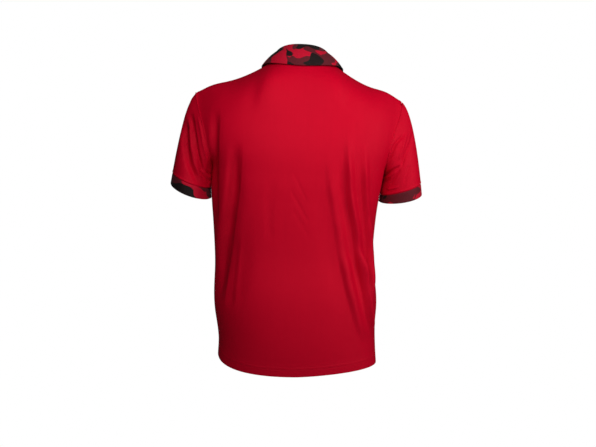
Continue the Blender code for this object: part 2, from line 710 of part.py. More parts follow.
# The placket's strips lie on the front panel and behind it, and carry the buttons
strip = strip_points(grids["front_panel"], slit_rows[0], middle)
strip_normals = strip_points(shared["front_panel"], slit_rows[0], middle)
strip_normals[-1] = strip_normals[-2]
strip_normals = unit(strip_normals)
strip[-1] += unit(strip[-2] - strip[-1]) * SEAM_GAP
upper_inner = strip + strip_normals * STRIP_GAP
upper_outer = upper_inner + strip_normals * BODY_WALL
make_wall("placket_upper", upper_outer, upper_inner, cloth)
under_outer = strip - strip_normals * (BODY_WALL + STRIP_GAP)
make_wall("placket_under", under_outer, under_outer - strip_normals * BODY_WALL, cloth)
placket = tree_of([upper_outer])
for number, down in enumerate(BUTTONS_DOWN, start=1):
    aim = Vector((neck_front[0] + down * PLACKET_LEAN, IN_FRONT, neck_front[2] - down))
    sideways, upwards = Vector((BUTTON_RADIUS, 0, 0)), Vector((0, 0, BUTTON_RADIUS))
    starts = (aim, aim - sideways, aim + sideways, aim - upwards, aim + upwards)
    seats = [placket.ray_cast(start, Vector((0, 1, 0)))[0] for start in starts]
    centre, left, right, low, high = seats
    normal = (right - left).cross(high - low).normalized()
    lift = max((seat - centre).dot(normal) for seat in seats) + STRIP_GAP
    make_button(f"button_{number}", centre + normal * lift, normal, button_plastic)
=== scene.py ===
"""The finish of a short-sleeved golf polo shirt, filled out as it is when worn: its cloth, creases, seams,
stitching and buttons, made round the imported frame. Sizes are in metres, but for tables named _MM."""
import math
from collections import namedtuple

import bmesh
import bpy
import numpy as np
from mathutils import Matrix, Vector, noise
from mathutils.bvhtree import BVHTree
from mathutils.kdtree import KDTree


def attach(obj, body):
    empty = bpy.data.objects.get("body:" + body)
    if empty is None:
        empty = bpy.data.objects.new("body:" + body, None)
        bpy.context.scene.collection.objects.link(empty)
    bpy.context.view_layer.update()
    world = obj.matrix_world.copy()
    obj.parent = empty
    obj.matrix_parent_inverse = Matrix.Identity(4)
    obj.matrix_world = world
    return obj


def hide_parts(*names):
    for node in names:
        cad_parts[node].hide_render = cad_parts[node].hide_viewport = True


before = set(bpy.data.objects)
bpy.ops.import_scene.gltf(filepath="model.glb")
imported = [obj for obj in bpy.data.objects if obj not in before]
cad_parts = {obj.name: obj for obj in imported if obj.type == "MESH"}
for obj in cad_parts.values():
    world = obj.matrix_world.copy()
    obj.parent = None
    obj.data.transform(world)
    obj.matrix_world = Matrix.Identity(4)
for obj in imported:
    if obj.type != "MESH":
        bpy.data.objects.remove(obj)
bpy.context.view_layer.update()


# The back
# One piece of crimson performance jersey, cut from the neck to a curved tail. It hangs from the shoulder
# seams in long soft folds, and its tail is turned up and sewn with a twin needle.
# A ridge or trough pressed into the cloth: a line of (x, z), its half width at each end and its height.
# Where it leans, it is that much wider on the side of the wearer's left, and that much narrower on the
# other. A sharp one has an edge on its narrow side: a ridge at its crest, and a trough at its rim.
Crease = namedtuple("Crease", "line start_width end_width height lean sharp", defaults=(0, False))
BACK_CREASES_MM = (
    Crease(((-70, -190), (-73, -268), (-79, -313), (-91, -382), (-101, -450), (-116, -519),
            (-134, -587), (-151, -640)), 20, 15, 5.0, -0.2),
    Crease(((-101, -430), (-116, -519), (-134, -587), (-150, -645)), 18, 15, 4.0, -0.2),
    Crease(((-110, -150), (-112, -240), (-117, -313), (-131, -382), (-137, -450), (-152, -519),
            (-163, -587), (-171, -630)), 15, 12, 9.5, -0.25, True),
    Crease(((-135, -420), (-151, -519), (-163, -587), (-171, -640)), 12, 11, 8.5, -0.25, True),
    Crease(((-149, -175), (-150, -268), (-153, -313), (-161, -382), (-164, -450), (-168, -519),
            (-172, -580)), 12, 10, 9.0, -0.2, True),
    Crease(((142, -165), (144, -222), (149, -290), (160, -359), (170, -427), (182, -496),
            (191, -575)), 19, 22, -10.0, 0.25, True),
    Crease(((190, -95), (194, -160), (195, -222), (195, -290), (196, -380)), 14, 12, -6.0, 0.2, True),
    Crease(((142, -385), (148, -450), (160, -570)), 16, 16, -3.5, 0.2),
    Crease(((16, -245), (-4, -290), (-22, -325)), 8, 6, -0.5),
    Crease(((22, -285), (-2, -330), (-24, -368)), 8, 6, -0.6),
    Crease(((18, -330), (-4, -366), (-24, -400)), 8, 6, -0.5),
    Crease(((60, -250), (70, -330), (66, -420)), 20, 14, -0.8),
)
MM = 0.001
FAR = 1.0


def select_only(piece):
    bpy.ops.object.select_all(action="DESELECT")
    piece.select_set(True)
    bpy.context.view_layer.objects.active = piece


def modify(piece, kind, **settings):
    """Adds a modifier with these settings and applies it."""
    select_only(piece)
    modifier = piece.modifiers.new(kind.title(), kind)
    for name, value in settings.items():
        setattr(modifier, name, value)
    bpy.ops.object.modifier_apply(modifier=modifier.name)


def points_of(piece):
    found = np.empty(len(piece.data.vertices) * 3)
    piece.data.vertices.foreach_get("co", found)
    return found.reshape(-1, 3)


def normals_of(piece):
    found = np.empty(len(piece.data.vertices) * 3)
    piece.data.vertex_normals.foreach_get("vector", found)
    return found.reshape(-1, 3)


def put_points(piece, points):
    piece.data.vertices.foreach_set("co", points.ravel())
    piece.data.update()


def vectors_of(piece, name):
    found = np.empty(len(piece.data.vertices) * 3)
    piece.data.attributes[name].data.foreach_get("vector", found)
    return found.reshape(-1, 3)


def values_of(piece, name):
    found = np.empty(len(piece.data.vertices))
    piece.data.attributes[name].data.foreach_get("value", found)
    return found


def tree_of(points):
    tree = KDTree(max(len(points), 1))
    for number, point in enumerate(points):
        tree.insert(Vector(point), number)
    tree.balance()
    return tree


def distances(points, targets):
    """How far each point lies from the nearest target, or FAR where there is none."""
    if not len(targets):
        return np.full(len(points), FAR)
    tree = tree_of(targets)
    return np.array([tree.find(Vector(point))[2] for point in points])


def put_values(piece, name, values):
    attribute = piece.data.attributes.new(name, "FLOAT", "POINT")
    attribute.data.foreach_set("value", values)


WELD = 0.00002
RIM_ANGLE = 35
BACK_RIM_ANGLE = 45
WALL_MOST = 0.0026
SEAM_BAND = 0.0035


def is_rim(face, side):
    """Whether a face is a stray one of the wall's rim, which is as narrow as the wall is thick."""
    near_faces = [near for edge in face.edges for near in edge.link_faces if near is not face]
    joined = sum(1 for near in near_faces if near in side)
    return joined < 2 and min(edge.calc_length() for edge in face.edges) < WALL_MOST


def outer_side(node, name, rim_angle):
    """The outer side of a CAD wall as a new piece of quads, and a tree of the points of its other side."""
    piece = bpy.data.objects.new(name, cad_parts[node].data.copy())
    bpy.context.collection.objects.link(piece)
    piece.data.materials.clear()
    select_only(piece)
    bpy.ops.object.mode_set(mode="EDIT")
    bpy.ops.mesh.select_mode(type="EDGE")
    bpy.ops.mesh.select_all(action="SELECT")
    bpy.ops.mesh.remove_doubles(threshold=WELD)
    bpy.ops.mesh.select_all(action="DESELECT")
    bpy.ops.mesh.edges_select_sharp(sharpness=math.radians(rim_angle))
    bpy.ops.mesh.edge_split(type="EDGE")
    shape = bmesh.from_edit_mesh(piece.data)
    unseen = set(shape.faces)
    sides = []
    while unseen:
        side, front = set(), {next(iter(unseen))}
        while front:
            side |= front
            edges = {edge for face in front for edge in face.edges}
            front = {near for edge in edges for near in edge.link_faces} - side
        unseen -= side
        sides.append(side)
    widest = max(sides, key=lambda side: sum(face.calc_area() for face in side))
    widest = {face for face in widest if not is_rim(face, widest)}
    corners = {tuple(vertex.co) for face in widest for vertex in face.verts}
    behind = tree_of([vertex.co.copy() for vertex in shape.verts if tuple(vertex.co) not in corners])
    for face in shape.faces:
        face.select_set(face not in widest)
    bpy.ops.mesh.delete(type="FACE")
    bpy.ops.mesh.select_all(action="SELECT")
    bpy.ops.mesh.remove_doubles(threshold=WELD)
    bpy.ops.mesh.tris_convert_to_quads(face_threshold=math.pi, shape_threshold=math.pi,
                                       topology_influence=1)
    bpy.ops.mesh.inset(thickness=SEAM_BAND, use_boundary=True)
    bpy.ops.object.mode_set(mode="OBJECT")
    return piece, behind


def mark_tube_seam(shape):
    """Marks the line of edges under the arm, along which a tube of cloth is laid open."""
    border = [vertex for vertex in shape.verts if vertex.is_boundary]
    vertex = min(border, key=lambda vertex: abs(vertex.co.x) + vertex.co.z)
    way = None
    while True:
        choices = [edge for edge in vertex.link_edges if not edge.is_boundary and not edge.seam]
        if not choices or (way is not None and vertex.is_boundary):
            return
        steps = [(edge.other_vert(vertex).co - vertex.co).normalized() for edge in choices]
        straightest = 0 if way is None else max(range(len(steps)), key=lambda number: steps[number].dot(way))
        edge = choices[straightest]
        edge.seam = True
        way = steps[straightest]
        vertex = edge.other_vert(vertex)


def way_up(shape):
    """The way up a tube of cloth, from the middle of its lower border to that of its upper one."""
    border = {vertex for vertex in shape.verts if vertex.is_boundary}
    ring, front = set(), {min(border, key=lambda vertex: vertex.co.z)}
    while front:
        ring |= front
        edges = {edge for vertex in front for edge in vertex.link_edges if edge.is_boundary}
        front = {vertex for edge in edges for vertex in edge.verts} - ring
    low, high = (np.mean([vertex.co for vertex in part], axis=0) for part in (ring, border - ring))
    return Vector(high - low).normalized()


def lay_grain(piece, is_tube):
    """Lays the cloth flat in its UV map, in metres, with the wales of the knit running up the piece."""
    select_only(piece)
    bpy.ops.object.mode_set(mode="EDIT")
    bpy.ops.mesh.select_all(action="SELECT")
    grain = Vector((0, 0, 1))
    if is_tube:
        grain = way_up(bmesh.from_edit_mesh(piece.data))
        mark_tube_seam(bmesh.from_edit_mesh(piece.data))
    bpy.ops.uv.unwrap(method="ANGLE_BASED", margin=0)
    bpy.ops.object.mode_set(mode="OBJECT")
    mesh = piece.data
    flat = np.empty(len(mesh.loops) * 2)
    mesh.uv_layers.active.data.foreach_get("uv", flat)
    flat = flat.reshape(-1, 2)
    corner = np.empty(len(mesh.loops), int)
    mesh.loops.foreach_get("vertex_index", corner)
    height = points_of(piece)[corner] @ np.array(grain)
    flat -= flat.mean(axis=0)
    up = np.linalg.lstsq(flat, height - height.mean(), rcond=None)[0]
    up /= np.linalg.norm(up)
    flat = np.stack([flat @ (up[1], -up[0]), flat @ up], axis=1)
    flat_area = 0
    for face in mesh.polygons:
        ring = flat[face.loop_start:face.loop_start + face.loop_total]
        after = np.roll(ring, -1, axis=0)
        flat_area += abs(np.sum(ring[:, 0] * after[:, 1] - ring[:, 1] * after[:, 0])) / 2
    flat *= math.sqrt(sum(face.area for face in mesh.polygons) / flat_area)
    mesh.uv_layers.active.data.foreach_set("uv", flat.ravel())


SEAM_REACH = 0.0009
SEAM_CLOSE = 0.5


def meet_neighbours(piece, behind, neighbours):
    """Draws the seams' edges together, and keeps at each the way through the wall, alike on both sides."""
    meshes = [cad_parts[node].data for node in neighbours]
    near = tree_of([vertex.co.copy() for mesh in meshes for vertex in mesh.vertices])
    shape = bmesh.new()
    shape.from_mesh(piece.data)
    into_seam = shape.verts.layers.float_vector.new("into_seam")
    for vertex in shape.verts:
        if not vertex.is_boundary or not neighbours:
            continue
        other, _, gap = near.find(vertex.co)
        if gap > SEAM_REACH:
            continue
        vertex[into_seam] = (behind.find(vertex.co)[0] - vertex.co).normalized()
        vertex.co += (other - vertex.co) * SEAM_CLOSE
    shape.to_mesh(piece.data)
    shape.free()


CREASE_ROUNDINGS = 3
CORNER_CUT = 0.25
CREASE_TAPER = 0.22
EDGE_POWER = 1.3


def lift_of(crease, places):
    """How far a crease lifts the cloth at each place (x, z), how far outside it each lies, and its half
    width there."""
    line = np.array(crease.line, float) * MM
    for _ in range(CREASE_ROUNDINGS):
        nearer = line[:-1] * (1 - CORNER_CUT) + line[1:] * CORNER_CUT
        further = line[:-1] * CORNER_CUT + line[1:] * (1 - CORNER_CUT)
        line = np.vstack([line[:1], np.stack([nearer, further], axis=1).reshape(-1, 2), line[-1:]])
    steps = np.diff(line, axis=0)
    spans = np.linalg.norm(steps, axis=1)
    gap = np.full(len(places), FAR)
    along = np.zeros(len(places))
    side = np.zeros(len(places))
    for start, step, span, before in zip(line, steps, spans, np.cumsum(spans) - spans):
        reach = np.clip((places - start) @ step / span ** 2, 0, 1)
        off = places - start - reach[:, None] * step
        found = np.linalg.norm(off, axis=1)
        closer = found < gap
        gap[closer] = found[closer]
        along[closer] = before + reach[closer] * span
        side[closer] = np.sign(step[0] * off[closer, 1] - step[1] * off[closer, 0])
    share = along / spans.sum()
    width = crease.start_width + (crease.end_width - crease.start_width) * share
    width = width * MM * (1 + crease.lean * side)
    taper = np.clip(np.minimum(share, 1 - share) / CREASE_TAPER, 0, 1)
    across = np.clip(gap / width, 0, 1)
    rounded = np.cos(across * math.pi / 2) ** 2
    if crease.sharp:
        edged = (1 - across) ** EDGE_POWER if crease.height > 0 else 1 - across ** EDGE_POWER
        rounded = np.where(side * crease.lean < 0, edged, rounded)
    return crease.height * MM * rounded * taper * taper * (3 - 2 * taper), gap - width, width


FINE_MARGIN = 0.004
NARROW = 0.0065


def refine(piece, creases, facing, widest=FAR):
    """Doubles the mesh where creases lie that are no wider than this."""
    points, normals = points_of(piece), normals_of(piece)
    close = np.zeros(len(points), bool)
    for crease in creases:
        _, outside, width = lift_of(crease, points[:, [0, 2]])
        close |= (outside < FINE_MARGIN) & (width < widest) & (normals[:, 1] * facing > 0)
    select_only(piece)
    bpy.ops.object.mode_set(mode="EDIT")
    bpy.ops.mesh.select_mode(type="FACE")
    bpy.ops.mesh.select_all(action="DESELECT")
    shape = bmesh.from_edit_mesh(piece.data)
    for face in shape.faces:
        face.select_set(all(close[vertex.index] for vertex in face.verts))
    bmesh.update_edit_mesh(piece.data)
    bpy.ops.mesh.subdivide(number_cuts=1, smoothness=0)
    bpy.ops.object.mode_set(mode="OBJECT")


CREASE_UNEVEN = 0.4
UNEVEN_SIZE = 0.05
FACING_FULL = 0.35
SEAM_HOLD = 0.007


def press(piece, creases, facing):
    """Presses creases into the cloth, along its own normals, on the side that faces this way along Y. Each
    one is uneven in height, and the seams hold the cloth beside them."""
    points, normals = points_of(piece), normals_of(piece)
    lift = np.zeros(len(points))
    for number, crease in enumerate(creases):
        height, _, _ = lift_of(crease, points[:, [0, 2]])
        for index in np.flatnonzero(height):
            uneven = noise.noise(Vector(points[index]) / UNEVEN_SIZE + Vector((number, 0, 0)))
            lift[index] += height[index] * (1 + CREASE_UNEVEN * uneven)
    lift *= np.clip(normals[:, 1] * facing / FACING_FULL, 0, 1)
    lift *= np.clip(values_of(piece, "from_seam") / SEAM_HOLD, 0, 1)
    put_points(piece, points + normals * lift[:, None])


RIPPLE_SIZE = 0.07
RIPPLE_HEIGHT = 0.0004


def ripple(piece):
    """Makes the filled cloth a little uneven all over."""
    points, normals = points_of(piece), normals_of(piece)
    lift = np.array([noise.noise(Vector(point) / RIPPLE_SIZE) for point in points]) * RIPPLE_HEIGHT
    put_points(piece, points + normals * lift[:, None])


SEAM_SINK = 0.0009


def sink_seams(piece):
    """Draws the cloth in along its seams, and lets it roll off beside them."""
    into = vectors_of(piece, "into_seam")
    share = np.linalg.norm(into, axis=1, keepdims=True)
    put_points(piece, points_of(piece) + into * SEAM_SINK * share * (3 - 2 * share))


HEM_BELOW = -0.6
HEM_STEEPNESS = 0.8
SEAM_SHARE = 0.5


def borders_of(piece):
    """The points on a piece's seams, on its turned-up hem and on its other edges, each by its edges."""
    points = points_of(piece)
    share = np.linalg.norm(vectors_of(piece, "into_seam"), axis=1)
    shape = bmesh.new()
    shape.from_mesh(piece.data)
    found = {"seam": [], "hem": [], "edge": []}
    for edge in shape.edges:
        if edge.is_boundary:
            ends = [vertex.index for vertex in edge.verts]
            way = points[ends[1]] - points[ends[0]]
            if share[ends].max() > SEAM_SHARE:
                kind = "seam"
            elif points[ends, 2].max() < HEM_BELOW and abs(way[2]) < HEM_STEEPNESS * np.linalg.norm(way):
                kind = "hem"
            else:
                kind = "edge"
            found[kind].append(ends)
    shape.free()
    return found


def ends_of(pairs):
    return sorted({end for pair in pairs for end in pair})


def cut_cloth(node, name, neighbours, levels, rim_angle=RIM_ANGLE, is_tube=False):
    """A CAD wall's outer side as smooth cloth, one layer thick, which meets its neighbours at the seams.
    Each point keeps how far it lies from the seams and from the hem."""
    piece, behind = outer_side(node, name, rim_angle)
    lay_grain(piece, is_tube)
    meet_neighbours(piece, behind, neighbours)
    modify(piece, "SUBSURF", levels=levels, render_levels=levels,
           boundary_smooth="PRESERVE_CORNERS")
    points = points_of(piece)
    borders = borders_of(piece)
    for kind in ("seam", "hem"):
        put_values(piece, f"from_{kind}", distances(points, points[ends_of(borders[kind])]))
    return piece


ALLOWANCE = 0.003


def turn_in_seams(piece):
    """Folds a seam allowance inwards along each seam, where the two pieces lie against each other."""
    select_only(piece)
    bpy.ops.object.mode_set(mode="EDIT")
    bpy.ops.mesh.select_mode(type="EDGE")
    bpy.ops.mesh.select_all(action="DESELECT")
    shape = bmesh.from_edit_mesh(piece.data)
    into_seam = shape.verts.layers.float_vector["into_seam"]
    seam = [edge for edge in shape.edges
            if edge.is_boundary and min(vertex[into_seam].length for vertex in edge.verts) > SEAM_SHARE]
    for edge in seam:
        edge.select_set(True)
    if seam:
        bmesh.update_edit_mesh(piece.data)
        bpy.ops.mesh.extrude_edges_move()
        shape = bmesh.from_edit_mesh(piece.data)
        into_seam = shape.verts.layers.float_vector["into_seam"]
        for vertex in shape.verts:
            if vertex.select:
                vertex.co += vertex[into_seam].normalized() * ALLOWANCE
    bmesh.update_edit_mesh(piece.data)
    bpy.ops.object.mode_set(mode="OBJECT")


CLOTH = 0.0009
SMOOTH_ANGLE = math.radians(60)


def finish_cloth(piece, node, material, thickness=CLOTH):
    """Gives the cloth its seam allowances, its thickness, inwards, and its material."""
    turn_in_seams(piece)
    modify(piece, "SOLIDIFY", thickness=thickness, offset=-1)
    piece.data.materials.append(material)
    select_only(piece)
    bpy.ops.object.shade_smooth_by_angle(angle=SMOOTH_ANGLE)
    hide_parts(node)
    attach(piece, "root")


def new_group(name, values, results):
    """A shader node group with these named values in and results out."""
    group = bpy.data.node_groups.new(name, "ShaderNodeTree")
    for title, default in values.items():
        kind = {float: "Float", tuple: "Vector", str: "Color"}[type(default)]
        socket = group.interface.new_socket(name=title, in_out="INPUT", socket_type=f"NodeSocket{kind}")
        if kind == "Float":
            socket.default_value = default
    for title, kind in results.items():
        group.interface.new_socket(name=title, in_out="OUTPUT", socket_type=f"NodeSocket{kind}")
    return group, group.nodes.new("NodeGroupInput"), group.nodes.new("NodeGroupOutput")


def add_node(tree, kind, inputs=(), **settings):
    """Adds a node: its inputs are (name or number, value or the output that feeds it)."""
    node = tree.nodes.new(f"ShaderNode{kind}")
    for name, value in settings.items():
        setattr(node, name, value)
    for key, value in inputs:
        if isinstance(value, bpy.types.NodeSocket):
            tree.links.new(value, node.inputs[key])
        else:
            node.inputs[key].default_value = value
    return node


def calculate(tree, operation, *values):
    return add_node(tree, "Math", list(enumerate(values)), operation=operation).outputs[0]


LOOP_HEIGHT = 0.00004
COLUMN_HEIGHT = 0.00006
STREAK_SCALE = (420, 9, 1)
PUCKER_SCALE = 160.0
PUCKER_REACH = 0.012
PUCKER_HEIGHT = 0.0006
HEM_ROWS = (0.016, 0.022)
HEM_EASE = 0.01
HEM_GROOVE = 0.0012
GROOVE_DEPTH = 0.0003
HEM_EDGE = 0.0008
HEM_RAISED = 0.0004


def make_knit():
    """The face of a fine jersey: columns of V-shaped loops, soft streaks, and puckers beside the sewing."""
    tree, given, result = new_group(
        "jersey knit",
        {"Flat": (), "Object": (), "From Seam": 1.0, "From Hem": 1.0, "Wale": 0.0011, "Course": 0.0008},
        {"Height": "Float", "Streak": "Float"},
    )
    flat = add_node(tree, "SeparateXYZ", [(0, given.outputs["Flat"])])
    wale = calculate(tree, "DIVIDE", flat.outputs[0], given.outputs["Wale"])
    course = calculate(tree, "DIVIDE", flat.outputs[1], given.outputs["Course"])
    beside = calculate(tree, "ABSOLUTE", calculate(tree, "SUBTRACT", calculate(tree, "FRACT", wale), 0.5))
    slanted = calculate(tree, "ADD", course, beside)
    loop = calculate(tree, "SINE", calculate(tree, "MULTIPLY", slanted, 2 * math.pi))
    column = calculate(tree, "SINE", calculate(tree, "MULTIPLY", beside, 2 * math.pi))
    columns = calculate(tree, "MULTIPLY", column, COLUMN_HEIGHT)
    loops = calculate(tree, "MULTIPLY_ADD", loop, LOOP_HEIGHT, columns)
    stretched = add_node(tree, "Mapping", [(0, given.outputs["Flat"]), ("Scale", STREAK_SCALE)])
    streak = add_node(tree, "TexNoise", [(0, stretched.outputs[0]), ("Scale", 1.0), ("Detail", 3.0)])
    pucker = add_node(tree, "TexNoise", [(0, given.outputs["Object"]), ("Scale", PUCKER_SCALE),
                                         ("Detail", 1.0)])
    near_seam = add_node(tree, "MapRange", [(0, given.outputs["From Seam"]), (1, 0.0), (2, PUCKER_REACH),
                                            (3, PUCKER_HEIGHT), (4, 0.0)], interpolation_type="SMOOTHSTEP")
    near_hem = add_node(tree, "MapRange", [(0, given.outputs["From Hem"]), (1, HEM_ROWS[1]),
                                           (2, HEM_ROWS[1] + HEM_EASE), (3, PUCKER_HEIGHT), (4, 0.0)])
    height = calculate(tree, "MULTIPLY_ADD", pucker.outputs[0],
                       calculate(tree, "ADD", near_seam.outputs[0], near_hem.outputs[0]), loops)
    for row in HEM_ROWS:
        away = calculate(tree, "ABSOLUTE", calculate(tree, "SUBTRACT", given.outputs["From Hem"], row))
        groove = add_node(tree, "MapRange", [(0, away), (1, 0.0), (2, HEM_GROOVE), (3, -GROOVE_DEPTH),
                                             (4, 0.0)], interpolation_type="SMOOTHSTEP")
        height = calculate(tree, "ADD", height, groove.outputs[0])
    raised = add_node(tree, "MapRange", [(0, given.outputs["From Hem"]), (1, HEM_ROWS[1]),
                                         (2, HEM_ROWS[1] + HEM_EDGE), (3, HEM_RAISED), (4, 0.0)])
    tree.links.new(calculate(tree, "ADD", height, raised.outputs[0]), result.inputs["Height"])
    tree.links.new(streak.outputs[0], result.inputs["Streak"])
    return tree


def use_knit(tree):
    """Places the knit in a material, fed by the piece's own flat map and borders."""
    coordinates = add_node(tree, "TexCoord")
    seam = add_node(tree, "Attribute", attribute_name="from_seam")
    hem = add_node(tree, "Attribute", attribute_name="from_hem")
    knit = tree.nodes.new("ShaderNodeGroup")
    knit.node_tree = jersey_knit
    tree.links.new(coordinates.outputs["UV"], knit.inputs["Flat"])
    tree.links.new(coordinates.outputs["Object"], knit.inputs["Object"])
    tree.links.new(seam.outputs["Fac"], knit.inputs["From Seam"])
    tree.links.new(hem.outputs["Fac"], knit.inputs["From Hem"])
    bump = add_node(tree, "Bump", [("Height", knit.outputs["Height"]), ("Strength", 1.0),
                                   ("Distance", 1.0)])
    return knit, bump, coordinates


def new_material(name, **values):
    """A material whose shader has these plain values on its own sockets, by their names."""
    material = bpy.data.materials.new(name)
    material.use_nodes = True
    shader = material.node_tree.nodes["Principled BSDF"]
    for title, value in values.items():
        shader.inputs[title.replace("_", " ")].default_value = value
    return material, material.node_tree, shader


CRIMSON = (0.60, 0.0003, 0.019, 1)
CRIMSON_SHADE = (0.54, 0.0003, 0.017, 1)
CRIMSON_SHEEN = (1.0, 0.04, 0.08, 1)
JERSEY_GLOSS = 0.055
JERSEY_ROUGHNESS = (0.46, 0.56)
jersey_knit = make_knit()
jersey, tree, shader = new_material("crimson_jersey", Specular_IOR_Level=JERSEY_GLOSS, Sheen_Weight=0.03,
                                    Sheen_Roughness=0.4, Sheen_Tint=CRIMSON_SHEEN)
knit, bump, _ = use_knit(tree)
blend = add_node(tree, "Mix", [(0, knit.outputs["Streak"])], data_type="RGBA")
blend.inputs[6].default_value = CRIMSON
blend.inputs[7].default_value = CRIMSON_SHADE
tree.links.new(blend.outputs[2], shader.inputs["Base Color"])
tree.links.new(bump.outputs[0], shader.inputs["Normal"])
uneven_gloss = add_node(tree, "MapRange", [(0, knit.outputs["Streak"]), (3, JERSEY_ROUGHNESS[0]),
                                           (4, JERSEY_ROUGHNESS[1])])
tree.links.new(uneven_gloss.outputs[0], shader.inputs["Roughness"])

NECK_CORNERS = ((0.094, 0.0, -0.03), (-0.094, 0.0, -0.04))
EASE_REACH = 0.11
EASE_HOLD = 0.006
EASE_TIMES = 400
EASE_FACTOR = 0.5
PANEL_LEVELS = 2


def ease(piece, places):
    """Smooths the cloth near these places, where its seams meet at a corner, but not the seams."""
    points = points_of(piece)
    share = np.clip(1 - distances(points, places) / EASE_REACH, 0, 1)
    share *= share * (3 - 2 * share) * np.clip(values_of(piece, "from_seam") / EASE_HOLD, 0, 1)
    group = piece.vertex_groups.new(name="eased")
    for index in np.flatnonzero(share):
        group.add([int(index)], share[index], "REPLACE")
    modify(piece, "SMOOTH", factor=EASE_FACTOR, iterations=EASE_TIMES, vertex_group="eased")
    piece.vertex_groups.clear()


back = cut_cloth("back_panel", "back_jersey",
                 ("front_panel", "sleeve_left", "sleeve_right", "collar_stand"), PANEL_LEVELS,
                 rim_angle=BACK_RIM_ANGLE)
ease(back, NECK_CORNERS)
refine(back, BACK_CREASES_MM, 1)
refine(back, BACK_CREASES_MM, 1, NARROW)
ripple(back)
press(back, BACK_CREASES_MM, 1)
sink_seams(back)

# The thread
# Polyester thread is sewn in rows of short raised stitches. One stitch is shaped, and each row repeats it.
STITCH = 0.0026
STITCH_PITCH = 0.0034
THREAD = 0.0005
STITCH_SIDES = 6
STITCH_RINGS = 4
STITCH_DIP = 0.35
STITCH_ENDS = 0.3
ROW_TRIM = 0.93
ROW_SMOOTHINGS = 6
CRIMSON_THREAD = (0.52, 0.004, 0.022, 1)

bpy.ops.mesh.primitive_uv_sphere_add(segments=STITCH_SIDES, ring_count=STITCH_RINGS, radius=0.5)
stitch = bpy.context.object
bpy.ops.object.mode_set(mode="EDIT")
bpy.ops.transform.rotate(value=math.pi / 2, orient_axis="Y", center_override=(0, 0, 0))
bpy.ops.transform.resize(value=(STITCH, THREAD, THREAD))
bpy.ops.mesh.select_mode(type="VERT")
bpy.ops.mesh.select_all(action="DESELECT")
shape = bmesh.from_edit_mesh(stitch.data)
for vertex in shape.verts:
    vertex.select_set(abs(vertex.co.x) > STITCH * STITCH_ENDS)
shape.select_flush(True)
bmesh.update_edit_mesh(stitch.data)
bpy.ops.transform.translate(value=(0, 0, -THREAD * STITCH_DIP))
bpy.ops.object.mode_set(mode="OBJECT")
stitch_points = points_of(stitch)
stitch_faces = [list(face.vertices) for face in stitch.data.polygons]
bpy.data.objects.remove(stitch)


def chains_of(pairs):
    """Joins edges, given as pairs of points, into lines."""
    near = {}
    for first, second in pairs:
        near.setdefault(first, []).append(second)
        near.setdefault(second, []).append(first)
    left = set(near)
    chains = []
    while left:
        ends = [point for point in left if len(near[point]) == 1]
        point = min(ends or left)
        chain = []
        while point is not None:
            chain.append(point)
            left.discard(point)
            point = next((other for other in near[point] if other in left), None)
        chains.append(chain)
    return chains


def rows_beside(piece, pairs, inset):
    """Lines on the cloth, as points and normals, at this distance inside these edges."""
    points, normals = points_of(piece), normals_of(piece)
    cloth = BVHTree.FromPolygons(points.tolist(), [list(face.vertices) for face in piece.data.polygons])
    border = tree_of(points[ends_of(pairs)])
    shape = bmesh.new()
    shape.from_mesh(piece.data)
    shape.verts.ensure_lookup_table()
    rows = []
    for chain in chains_of(pairs):
        line = points[chain]
        ways = np.gradient(line, axis=0)
        inward = np.cross(normals[chain], ways)
        inward /= np.maximum(np.linalg.norm(inward, axis=1, keepdims=True), 1e-9)
        near_faces = [shape.verts[end].link_faces for end in chain]
        middles = np.array([np.mean([face.calc_center_median() for face in faces], axis=0)
                            for faces in near_faces])
        if np.sum((middles - line) * inward) < 0:
            inward = -inward
        row = []
        for point in line + inward * inset:
            place, normal, _, _ = cloth.find_nearest(Vector(point))
            if border.find(place)[2] > inset * ROW_TRIM:
                row.append((*place, *normal))
        row = np.array(row)
        for _ in range(ROW_SMOOTHINGS):
            row[1:-1] = (row[:-2] + 2 * row[1:-1] + row[2:]) / 4
        rows.append(row)
    shape.free()
    return rows


def sew(name, rows, material):
    """Sews a row of stitches along each line, and joins them all into one piece."""
    points, faces = [], []
    for row in rows:
        spans = np.linalg.norm(np.diff(row[:, :3], axis=0), axis=1)
        places = np.concatenate([[0], np.cumsum(spans)])
        for centre in np.arange(STITCH_PITCH / 2, places[-1] - STITCH_PITCH / 2, STITCH_PITCH):
            here = np.array([np.interp(centre, places, row[:, axis]) for axis in range(6)])
            ahead = np.array([np.interp(centre + STITCH / 2, places, row[:, axis]) for axis in range(3)])
            behind = np.array([np.interp(centre - STITCH / 2, places, row[:, axis]) for axis in range(3)])
            way = (ahead - behind) / np.linalg.norm(ahead - behind)
            side = np.cross(here[3:], way)
            side /= np.linalg.norm(side)
            turn = np.stack([way, side, np.cross(way, side)])
            first = len(points) * len(stitch_points)
            faces += [[first + corner for corner in face] for face in stitch_faces]
            points.append(here[:3] + stitch_points @ turn)
    mesh = bpy.data.meshes.new(name)
    mesh.from_pydata(np.concatenate(points).tolist(), [], faces)
    sewn = bpy.data.objects.new(name, mesh)
    bpy.context.collection.objects.link(sewn)
    mesh.materials.append(material)
    mesh.shade_smooth()
    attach(sewn, "root")
    return sewn


THREAD_TWIST = 900.0
TWIST_HEIGHT = 0.0001
# How dark the painted shade in the grooves of the thread's twist is, against its own colour
THREAD_PAINTED_SHADE = 0.8


